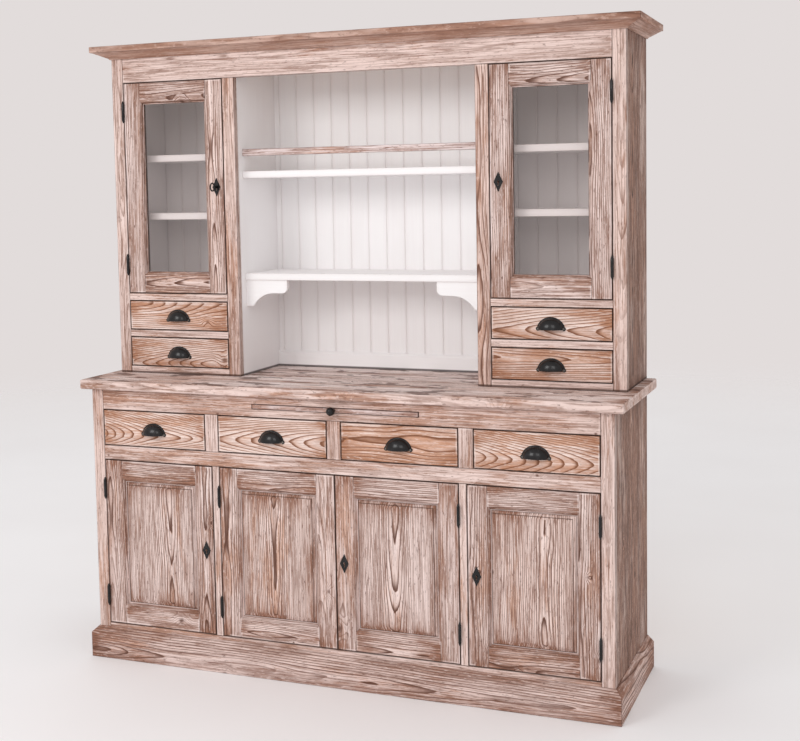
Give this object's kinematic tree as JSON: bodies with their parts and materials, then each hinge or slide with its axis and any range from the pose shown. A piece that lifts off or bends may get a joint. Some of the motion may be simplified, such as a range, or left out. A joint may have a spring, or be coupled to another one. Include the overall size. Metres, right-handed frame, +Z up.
{
  "type": "kitchen hutch",
  "caption": "Free-standing pine kitchen hutch: panelled base with drawers and a pull-out bread board, glazed cupboards above beside an open shelved bay.",
  "frame": {"origin": "on the floor, under the middle of the hutch's box", "axes": "+X to the right seen from the front, +Y to the back, +Z up"},
  "size_m": [1.908, 0.531, 2.097],
  "materials": {
    "washed_pine": "brushed pine with worn white wash",
    "honey_pine": "brushed pine with thin white wash",
    "plain_pine": "planed pine",
    "white_paint": "matt white paint on pine",
    "black_iron": "black satin",
    "clear_glass": "clear pane"
  },
  "bodies": {
    "carcass": {"plinth_boards": "washed_pine", "base_face_frame": "washed_pine", "base_sides": "washed_pine", "base_partitions": "plain_pine", "base_shelves": "plain_pine", "base_floor": "plain_pine", "base_back_boards": "plain_pine", "countertop": "washed_pine", "drawer_runners": "plain_pine", "hutch_face_frame": "washed_pine", "hutch_sides": "washed_pine", "bay_sides": "white_paint", "cupboard_shelves": "white_paint", "hutch_roof": "plain_pine", "hutch_back_boards": "white_paint", "cornice": "washed_pine", "bay_shelves": "white_paint", "plate_rail": "washed_pine", "shelf_brackets": "white_paint", "frame_ironwork": "black_iron"},
    "base_door_1": {"base_door_1_frame": "washed_pine", "base_door_1_ironwork": "black_iron", "base_door_1_panel": "washed_pine"},
    "base_door_2": {"base_door_2_frame": "washed_pine", "base_door_2_ironwork": "black_iron", "base_door_2_panel": "washed_pine"},
    "base_door_3": {"base_door_3_frame": "washed_pine", "base_door_3_ironwork": "black_iron", "base_door_3_panel": "washed_pine"},
    "base_door_4": {"base_door_4_frame": "washed_pine", "base_door_4_ironwork": "black_iron", "base_door_4_panel": "washed_pine"},
    "glazed_door_left": {"glazed_door_left_frame": "washed_pine", "glazed_door_left_ironwork": "black_iron", "glazed_door_left_glass": "clear_glass", "glazed_door_left_beads": "washed_pine"},
    "glazed_door_right": {"glazed_door_right_frame": "washed_pine", "glazed_door_right_ironwork": "black_iron", "glazed_door_right_glass": "clear_glass", "glazed_door_right_beads": "washed_pine"},
    "base_drawer_1": {"base_drawer_1": "honey_pine", "base_drawer_1_pull": "black_iron"},
    "base_drawer_2": {"base_drawer_2": "honey_pine", "base_drawer_2_pull": "black_iron"},
    "base_drawer_3": {"base_drawer_3": "honey_pine", "base_drawer_3_pull": "black_iron"},
    "base_drawer_4": {"base_drawer_4": "honey_pine", "base_drawer_4_pull": "black_iron"},
    "small_drawer_left_lower": {"small_drawer_left_lower": "honey_pine", "small_drawer_left_lower_pull": "black_iron"},
    "small_drawer_left_upper": {"small_drawer_left_upper": "honey_pine", "small_drawer_left_upper_pull": "black_iron"},
    "small_drawer_right_lower": {"small_drawer_right_lower": "honey_pine", "small_drawer_right_lower_pull": "black_iron"},
    "small_drawer_right_upper": {"small_drawer_right_upper": "honey_pine", "small_drawer_right_upper_pull": "black_iron"},
    "bread_board": {"bread_board": "plain_pine", "bread_board_knob": "black_iron"},
    "key": {"key": "black_iron"},
    "lock_bolt": {"lock_bolt": "black_iron"}
  },
  "joints": [
    {"name": "base_door_1_hinge", "type": "hinge", "parent": "carcass", "child": "base_door_1", "pos_m": [-0.857, -0.2414, 0.4045], "axis": [0, 0, -1], "range_deg": [0, 165]},
    {"name": "base_door_2_hinge", "type": "hinge", "parent": "carcass", "child": "base_door_2", "pos_m": [-0.416, -0.2414, 0.4045], "axis": [0, 0, -1], "range_deg": [0, 165]},
    {"name": "base_door_3_hinge", "type": "hinge", "parent": "carcass", "child": "base_door_3", "pos_m": [0.416, -0.2414, 0.4045], "axis": [0, 0, 1], "range_deg": [0, 165]},
    {"name": "base_door_4_hinge", "type": "hinge", "parent": "carcass", "child": "base_door_4", "pos_m": [0.857, -0.2414, 0.4045], "axis": [0, 0, 1], "range_deg": [0, 165]},
    {"name": "glazed_door_left_hinge", "type": "hinge", "parent": "carcass", "child": "glazed_door_left", "pos_m": [-0.856, -0.0594, 1.608], "axis": [0, 0, -1], "range_deg": [0, 165]},
    {"name": "glazed_door_right_hinge", "type": "hinge", "parent": "carcass", "child": "glazed_door_right", "pos_m": [0.856, -0.0594, 1.608], "axis": [0, 0, 1], "range_deg": [0, 165]},
    {"name": "base_drawer_1_slide", "type": "slide", "parent": "carcass", "child": "base_drawer_1", "axis": [0, -1, 0], "range_m": [0, 0.33]},
    {"name": "base_drawer_2_slide", "type": "slide", "parent": "carcass", "child": "base_drawer_2", "axis": [0, -1, 0], "range_m": [0, 0.33]},
    {"name": "base_drawer_3_slide", "type": "slide", "parent": "carcass", "child": "base_drawer_3", "axis": [0, -1, 0], "range_m": [0, 0.33]},
    {"name": "base_drawer_4_slide", "type": "slide", "parent": "carcass", "child": "base_drawer_4", "axis": [0, -1, 0], "range_m": [0, 0.33]},
    {"name": "small_drawer_left_lower_slide", "type": "slide", "parent": "carcass", "child": "small_drawer_left_lower", "axis": [0, -1, 0], "range_m": [0, 0.19]},
    {"name": "small_drawer_left_upper_slide", "type": "slide", "parent": "carcass", "child": "small_drawer_left_upper", "axis": [0, -1, 0], "range_m": [0, 0.19]},
    {"name": "small_drawer_right_lower_slide", "type": "slide", "parent": "carcass", "child": "small_drawer_right_lower", "axis": [0, -1, 0], "range_m": [0, 0.19]},
    {"name": "small_drawer_right_upper_slide", "type": "slide", "parent": "carcass", "child": "small_drawer_right_upper", "axis": [0, -1, 0], "range_m": [0, 0.19]},
    {"name": "bread_board_slide", "type": "slide", "parent": "carcass", "child": "bread_board", "axis": [0, -1, 0], "range_m": [0, 0.3]},
    {"name": "key_turn", "type": "hinge", "parent": "glazed_door_left", "child": "key", "pos_m": [-0.498, -0.054, 1.608], "axis": [0, 1, 0], "range_deg": [0, 180]},
    {"name": "lock_bolt_slide", "type": "slide", "parent": "glazed_door_left", "child": "lock_bolt", "axis": [1, 0, 0], "range_m": [0, 0.012]}
  ],
  "couplings": [
    {"joint": "lock_bolt_slide", "follows": "key_turn", "m_per_rad": 0.0038197}
  ]
}
